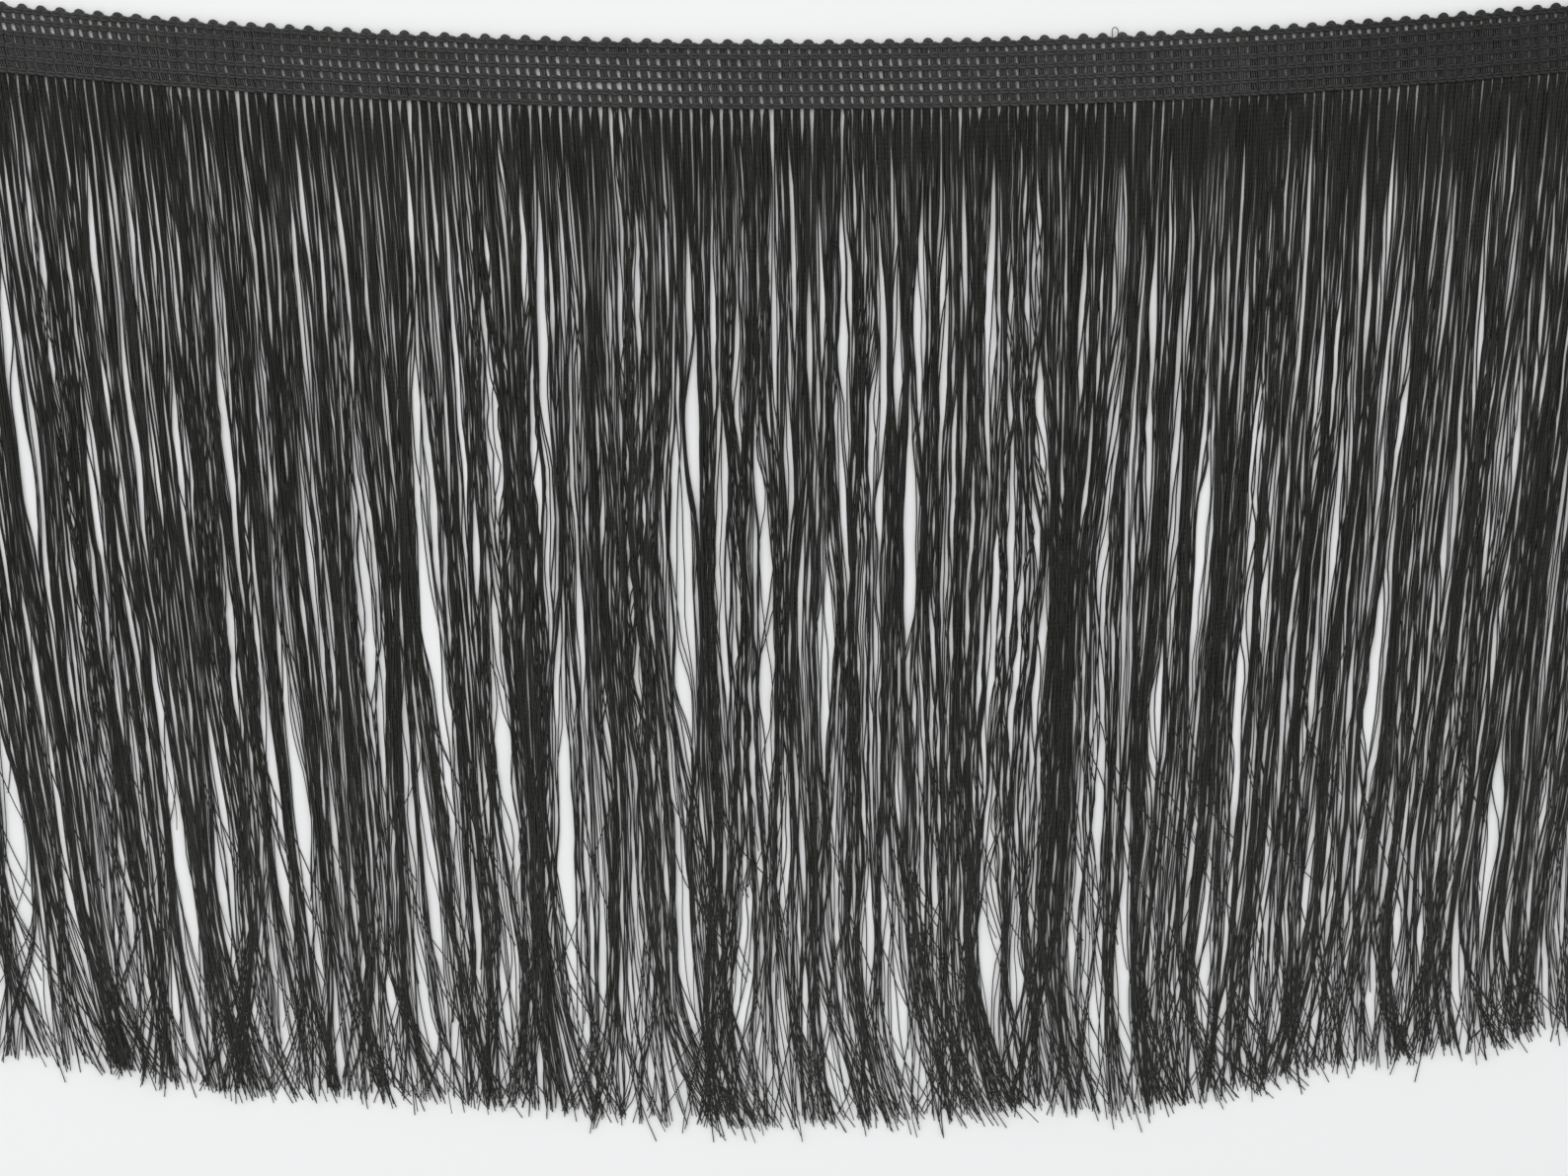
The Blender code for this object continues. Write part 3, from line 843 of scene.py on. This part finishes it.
def add(tree, kind, inputs=(), **settings):
    """Add a node. inputs maps a socket to its value, or to the output that feeds it."""
    made = tree.nodes.new(kind)
    for name, value in settings.items():
        setattr(made, name, value)
    for name, value in dict(inputs).items():
        if isinstance(value, bpy.types.NodeSocket):
            tree.links.new(value, made.inputs[name])
        else:
            made.inputs[name].default_value = value
    return made


def open_tree(name, inputs):
    """A Geometry Nodes tree with named inputs and one output."""
    tree = bpy.data.node_groups.new(name, "GeometryNodeTree")
    for label, kind in inputs:
        tree.interface.new_socket(label, in_out="INPUT", socket_type=f"NodeSocket{kind}")
    tree.interface.new_socket("Geometry", in_out="OUTPUT", socket_type="NodeSocketGeometry")
    return tree, add(tree, "NodeGroupInput").outputs


def close_tree(tree, made, material):
    """End a tree with plain geometry in one material."""
    real = add(tree, "GeometryNodeRealizeInstances", {"Geometry": made.outputs[0]})
    dyed = add(tree, "GeometryNodeSetMaterial",
               {"Geometry": real.outputs[0], "Material": material})
    add(tree, "NodeGroupOutput", {"Geometry": dyed.outputs[0]})


def yarn_tree():
    """Yarn along the edges of a mesh, as thick as the mesh's own attribute says."""
    tree, given = open_tree("yarn along its path", (("Paths", "Geometry"), ("Sides", "Int"),
                                                    ("Material", "Material")))
    ring = add(tree, "GeometryNodeCurvePrimitiveCircle",
               {"Resolution": given["Sides"], "Radius": 1.0}, mode="RADIUS")
    place = add(tree, "GeometryNodeInputPosition")
    ring = add(tree, "GeometryNodeStoreNamedAttribute",
               {"Geometry": ring.outputs["Curve"], "Name": "round", "Value": place.outputs[0]},
               data_type="FLOAT_VECTOR", domain="POINT")
    line = add(tree, "GeometryNodeMeshToCurve", {"Mesh": given["Paths"]})
    radius = add(tree, "GeometryNodeInputNamedAttribute", {"Name": "radius_of_yarn"},
                 data_type="FLOAT")
    swept = add(tree, "GeometryNodeCurveToMesh",
                {"Curve": line.outputs[0], "Profile Curve": ring.outputs[0],
                 "Scale": radius.outputs["Attribute"], "Fill Caps": True})
    smooth = add(tree, "GeometryNodeSetShadeSmooth", {"Geometry": swept.outputs[0]})
    close_tree(tree, smooth, given["Material"])
    return tree


def stitch_tree(yarn):
    """A stitch of yarn at every point, turned as the point says and a little uneven."""
    tree, given = open_tree("rows of chain stitch", (("Places", "Geometry"), ("Stitch", "Object"),
                                                     ("Sides", "Int"), ("Uneven", "Float"),
                                                     ("Seed", "Int"), ("Material", "Material")))
    stitch = add(tree, "GeometryNodeObjectInfo", {"Object": given["Stitch"]})
    worked = add(tree, "GeometryNodeGroup", node_tree=yarn)
    tree.links.new(stitch.outputs["Geometry"], worked.inputs["Paths"])
    tree.links.new(given["Sides"], worked.inputs["Sides"])
    tree.links.new(given["Material"], worked.inputs["Material"])
    turn = add(tree, "GeometryNodeInputNamedAttribute", {"Name": "turn"}, data_type="FLOAT")
    turn = add(tree, "ShaderNodeCombineXYZ", {"Z": turn.outputs["Attribute"]})
    turn = add(tree, "FunctionNodeEulerToRotation", {0: turn.outputs[0]})
    least = add(tree, "ShaderNodeMath", {0: 1.0, 1: given["Uneven"]}, operation="SUBTRACT")
    most = add(tree, "ShaderNodeMath", {0: 1.0, 1: given["Uneven"]}, operation="ADD")
    size = add(tree, "FunctionNodeRandomValue", {"Seed": given["Seed"]}, data_type="FLOAT_VECTOR")
    tree.links.new(least.outputs[0], size.inputs[0])
    tree.links.new(most.outputs[0], size.inputs[1])
    rows = add(tree, "GeometryNodeInstanceOnPoints",
               {"Points": given["Places"], "Instance": worked.outputs[0],
                "Rotation": turn.outputs[0], "Scale": size.outputs[0]})
    close_tree(tree, rows, given["Material"])
    return tree


def in_scene(name, data):
    """A new object in the scene, at its origin."""
    made = bpy.data.objects.new(name, data)
    bpy.context.collection.objects.link(made)
    return made


def store(mesh, name, values):
    """Give each point of a mesh a number of its own."""
    mesh.attributes.new(name, "FLOAT", "POINT").data.foreach_set("value", values.ravel())


def path_mesh(name, paths, thickness, shades, sides):
    """A mesh of edges along the paths, with what the yarn tree and the dye read from it."""
    yarns, points, _ = paths.shape
    mesh = bpy.data.meshes.new(name)
    mesh.vertices.add(yarns * points)
    mesh.vertices.foreach_set("co", (paths * MM).ravel())
    first = np.arange(yarns * points).reshape(yarns, points)
    edges = np.stack((first[:, :-1], first[:, 1:]), axis=-1)
    mesh.edges.add(edges.size // 2)
    mesh.edges.foreach_set("vertices", edges.ravel())
    # A ring's corners stand out this far, so that it looks as thick as the yarn on average.
    corner = np.asarray(thickness) / (2 * sides / math.pi * math.sin(math.pi / sides))
    steps = np.linalg.norm(np.diff(paths, axis=1), axis=-1)
    along = np.concatenate((np.zeros((yarns, 1)), np.cumsum(steps, axis=1)), axis=1)
    store(mesh, "radius_of_yarn", np.broadcast_to(corner * MM, (yarns, points)))
    store(mesh, "along", along * MM)
    store(mesh, "shade", np.broadcast_to(shades, (yarns, points)))
    return mesh


def bake(name, mesh, tree, inputs):
    """Run a tree on a mesh, and keep the result as a plain mesh of its own."""
    holder = in_scene(f"{name}.paths", mesh)
    modifier = holder.modifiers.new("made", "NODES")
    modifier.node_group = tree
    for socket in tree.interface.items_tree:
        if socket.in_out == "INPUT" and socket.name in inputs:
            modifier[socket.identifier] = inputs[socket.name]
    graph = bpy.context.evaluated_depsgraph_get()
    made = bpy.data.meshes.new_from_object(holder.evaluated_get(graph))
    made.name = name
    holder.modifiers.remove(modifier)
    bpy.data.objects.remove(holder)
    return in_scene(name, made)


def joined(name, pieces):
    """Pieces of one yarn as one mesh."""
    bpy.ops.object.select_all(action="DESELECT")
    for piece in pieces:
        piece.select_set(True)
    bpy.context.view_layer.objects.active = pieces[0]
    bpy.ops.object.join()
    pieces[0].name = name
    pieces[0].data.name = name
    return pieces[0]


# ------------------------------ materials

PLIES = 2
PLY_DEPTH = 0.03  # the groove between two plies, in mm
PLY_BUMP = 0.5
RIGHT_END_DARKENING = (45.0, 95.0)  # between these places along the heading the colour gets darker towards the right end

# What a spot's tone is the sum of. 0 is the dark end of the dye, and 1 is the light end.
LEAST_TONE = -0.05
YARN_TONE = 0.6  # how much of it the yarn's own shade gives
PATCH_TONE = 0.5  # the patches in which the dye took unevenly
PLY_GROOVE_PAINTED_SHADE = 0.12  # and the ply's winding: painted shade in the groove between plies and painted light on their crowns
PATCH_DETAIL = 3.0
PATCH_ROUGHNESS = 0.6


def colour(code):
    """An sRGB hex value as the linear colour that a shader takes."""
    channels = [int(code[n:n + 2], 16) / 255 for n in (0, 2, 4)]
    linear = [c / 12.92 if c <= 0.04045 else ((c + 0.055) / 1.055) ** 2.4 for c in channels]
    return (*linear, 1.0)


def dyed_yarn(name, dark, light, lay, mottle, roughness, specular, right_darkening=0.0):
    """Plied yarn: two plies that wind round it once in `lay` mm, and dye that took unevenly.

    mottle: the size of the patches in mm. The last argument: how much nearer to `dark` the colour
    is made at the right end of the trim.
    """
    material = bpy.data.materials.new(name)
    material.use_nodes = True
    tree = material.node_tree
    tree.nodes.clear()

    spot = add(tree, "ShaderNodeAttribute", attribute_name="round")
    spot = add(tree, "ShaderNodeSeparateXYZ", {"Vector": spot.outputs["Vector"]})
    around = add(tree, "ShaderNodeMath", {0: spot.outputs["Y"], 1: spot.outputs["X"]},
                 operation="ARCTAN2")
    around = add(tree, "ShaderNodeMath", {0: around.outputs[0], 1: PLIES}, operation="MULTIPLY")
    along = add(tree, "ShaderNodeAttribute", attribute_name="along")
    wind = 2 * math.pi * PLIES / (lay * MM)
    wound = add(tree, "ShaderNodeMath", {0: along.outputs["Fac"], 1: wind, 2: around.outputs[0]},
                operation="MULTIPLY_ADD")
    ridge = add(tree, "ShaderNodeMath", {0: wound.outputs[0]}, operation="SINE").outputs[0]

    place = add(tree, "ShaderNodeTexCoord").outputs["Object"]
    patches = add(tree, "ShaderNodeTexNoise",
                  {"Vector": place, "Scale": 1 / (mottle * MM), "Detail": PATCH_DETAIL,
                   "Roughness": PATCH_ROUGHNESS})
    shade = add(tree, "ShaderNodeAttribute", attribute_name="shade")
    tone = add(tree, "ShaderNodeMath", {0: shade.outputs["Fac"], 1: YARN_TONE, 2: LEAST_TONE},
               operation="MULTIPLY_ADD")
    tone = add(tree, "ShaderNodeMath",
               {0: patches.outputs["Fac"], 1: PATCH_TONE, 2: tone.outputs[0]},
               operation="MULTIPLY_ADD")
    # Painted shade in the groove between the plies, and painted light on their crowns.
    tone = add(tree, "ShaderNodeMath", {0: ridge, 1: PLY_GROOVE_PAINTED_SHADE, 2: tone.outputs[0]},
               operation="MULTIPLY_ADD")
    # Darker towards the right end of the trim.
    sideways = add(tree, "ShaderNodeSeparateXYZ", {"Vector": place}).outputs["X"]
    darkened_right = add(tree, "ShaderNodeMapRange",
                   {"Value": sideways, "From Min": RIGHT_END_DARKENING[0] * MM,
                    "From Max": RIGHT_END_DARKENING[1] * MM, "To Min": 0.0, "To Max": right_darkening})
    tone = add(tree, "ShaderNodeMath", {0: tone.outputs[0], 1: darkened_right.outputs["Result"]},
               operation="SUBTRACT", use_clamp=True).outputs[0]
    dye = add(tree, "ShaderNodeMix", {0: tone, 6: colour(dark), 7: colour(light)},
              data_type="RGBA").outputs[2]
    bump = add(tree, "ShaderNodeBump", {"Height": ridge, "Strength": PLY_BUMP,
                                        "Distance": PLY_DEPTH * MM})
    shader = add(tree, "ShaderNodeBsdfPrincipled",
                 {"Base Color": dye, "Roughness": roughness, "Specular IOR Level": specular,
                  "Normal": bump.outputs["Normal"]})
    add(tree, "ShaderNodeOutputMaterial", {"Surface": shader.outputs["BSDF"]})
    return material


# Black spun polyester sewing-weight thread, two-ply and left loose. It is nearly matt, and
# gives off a faint grey only where it turns to the light. Its plies are drawn at 1.4 mm a
# turn, twice as coarse as they are, so that the twist shows at all.
thread_dye = dyed_yarn("spun polyester thread, dyed black", "1c1c19", "383835",
                       lay=1.4, mottle=9.0, roughness=0.62, specular=0.22)
# The same polyester as a softer, hairier crochet yarn: greyer, and mottled stitch by stitch.
# The chains' yarn is fuller. The wefts are painted a little lighter than the chains: painted
# light, making up for the shade that the wefts lie in between the chain rows.
weft_dye = dyed_yarn("soft crochet weft, dyed black", "3a3939", "5b5a5a",
                     lay=1.2, mottle=2.5, roughness=0.75, specular=0.2, right_darkening=0.35)
chain_dye = dyed_yarn("soft crochet chain yarn, dyed black", "31302f", "525150",
                      lay=1.0, mottle=2.5, roughness=0.78, specular=0.2, right_darkening=0.35)


# ------------------------------ the pieces

CHAIN_SIDES = 4
WEFT_SIDES = 3
THREAD_SIDES = 3
CHAIN_SHADE = 0.5
BACK_YARN_SHADES = (0.2, 0.8)
BODY = "root"

yarn = yarn_tree()
stitches = stitch_tree(yarn)


def chain_rows(name, ribs, seed):
    """Chain stitch rows, with the yarn that runs behind them."""
    dice = np.random.default_rng(seed)
    places, angles = stitch_places(ribs)
    points = bpy.data.meshes.new(name)
    points.vertices.add(len(places))
    points.vertices.foreach_set("co", (places * MM).ravel())
    store(points, "turn", angles)
    stitch = path_mesh(f"{name}.stitch", stitch_path(), CHAIN_THICKNESS, CHAIN_SHADE, CHAIN_SIDES)
    stitch = bpy.data.objects.new(f"{name}.stitch", stitch)
    rows = bake(name, points, stitches,
                {"Stitch": stitch, "Sides": CHAIN_SIDES, "Uneven": STITCH_UNEVEN, "Seed": seed,
                 "Material": chain_dye})
    bpy.data.objects.remove(stitch)
    shades = dice.uniform(*BACK_YARN_SHADES, (len(ribs), 1))
    backs = path_mesh(f"{name}.back", back_yarn_paths(ribs), YARN_THICKNESS, shades, WEFT_SIDES)
    backs = bake(f"{name}.back", backs, yarn, {"Sides": WEFT_SIDES, "Material": chain_dye})
    return joined(name, [rows, backs])


def weft_bundles():
    """The heading's weft yarns with their scallops, and the slack ply."""
    dice = np.random.default_rng(WEFT_SHADE_SEED)
    paths = weft_paths()
    thickness = np.full((len(paths), 1), YARN_THICKNESS)
    thickness[-1] = SLACK_THICKNESS
    shades = dice.uniform(0, 1, (len(paths), 1))
    mesh = path_mesh("heading_wefts", paths, thickness, shades, WEFT_SIDES)
    return bake("heading_wefts", mesh, yarn, {"Sides": WEFT_SIDES, "Material": weft_dye})


def loose_threads():
    """The fringe's threads, in a few pieces side by side."""
    dice = np.random.default_rng(THREAD_SHADE_SEED)
    paths, loose = thread_paths()
    # The ends are painted paler: a painted sheen for the light that their fuzz catches.
    shades = dice.uniform(0, 1, (THREADS, 1)) + by_level(PAINTED_TIP_SHEEN, "paler")
    thickness = by_level(THREAD_THICKNESS, "thickness") * np.where(loose, LOOSE_THICKNESS, 1)
    pieces = []
    for number in range(FRINGE_PARTS):
        mine = slice(number * THREADS // FRINGE_PARTS, (number + 1) * THREADS // FRINGE_PARTS)
        name = f"fringe_threads_{number + 1}"
        mesh = path_mesh(name, paths[mine], thickness[mine], shades[mine], THREAD_SIDES)
        pieces.append(bake(name, mesh, yarn, {"Sides": THREAD_SIDES, "Material": thread_dye}))
    return pieces


heading_chains = chain_rows("heading_chains", range(1, RIBS), seed=HEADING_CHAIN_SEED)
fringe_chain = chain_rows("fringe_chain", range(0, 1), seed=FRINGE_CHAIN_SEED)
heading_wefts = weft_bundles()
threads = loose_threads()

for piece in (heading_chains, heading_wefts):
    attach(piece, BODY)
    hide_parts("heading_band")
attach(fringe_chain, BODY)
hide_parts("fringe")
for piece in threads:
    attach(piece, BODY)
    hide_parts("fringe")


# ------------------------------ floor, light and camera

FLOOR_SIZE = 3000.0
VIEW_WIDTH = 224.5  # what the camera takes in, along the heading
VIEW_MIDDLE = -73.3  # from the heading's middle to the view's
SENSOR = 36.0
LENS = 85.0
CAMERA_HEIGHT = VIEW_WIDTH * LENS / SENSOR
LAMP_PLACE = (-250, 250, 900)
LAMP_SIZE = 900
LAMP_POWER = 3.8
ROOM_STRENGTH = 0.78
PAPER_ROUGHNESS = 0.9
PAPER_SPECULAR = 0.1


def paper_floor():
    """Matt white paper, evenly lit."""
    half = FLOOR_SIZE / 2 * MM
    mesh = bpy.data.meshes.new("floor")
    mesh.from_pydata([(-half, -half, 0), (half, -half, 0), (half, half, 0), (-half, half, 0)],
                     [], [(0, 1, 2, 3)])
    material = bpy.data.materials.new("matt white paper")
    material.use_nodes = True
    shader = material.node_tree.nodes["Principled BSDF"]
    shader.inputs["Base Color"].default_value = colour("f2f2f2")
    shader.inputs["Roughness"].default_value = PAPER_ROUGHNESS
    shader.inputs["Specular IOR Level"].default_value = PAPER_SPECULAR
    mesh.materials.append(material)
    in_scene("floor", mesh)


def soft_lamp():
    """A square lamp that looks at the middle of the view."""
    lamp = bpy.data.lights.new("ceiling_light", "AREA")
    lamp.shape = "SQUARE"
    lamp.size = LAMP_SIZE * MM
    lamp.energy = LAMP_POWER
    holder = in_scene("ceiling_light", lamp)
    holder.location = [value * MM for value in LAMP_PLACE]
    aim = Vector((0, VIEW_MIDDLE * MM, 0)) - holder.location
    holder.rotation_euler = aim.to_track_quat("-Z", "Y").to_euler()


def pale_room():
    """Even light from all round."""
    world = bpy.data.worlds.new("pale room")
    world.use_nodes = True
    world.node_tree.nodes["Background"].inputs["Color"].default_value = colour("f5f6f7")
    world.node_tree.nodes["Background"].inputs["Strength"].default_value = ROOM_STRENGTH
    bpy.context.scene.world = world


def camera():
    """Straight above the trim, looking down."""
    eye = bpy.data.cameras.new("camera")
    eye.lens = LENS
    eye.sensor_width = SENSOR
    holder = in_scene("camera", eye)
    holder.location = (0, VIEW_MIDDLE * MM, CAMERA_HEIGHT * MM)
    bpy.context.scene.camera = holder


paper_floor()
soft_lamp()
pale_room()
camera()
bpy.context.scene.view_settings.view_transform = "Standard"
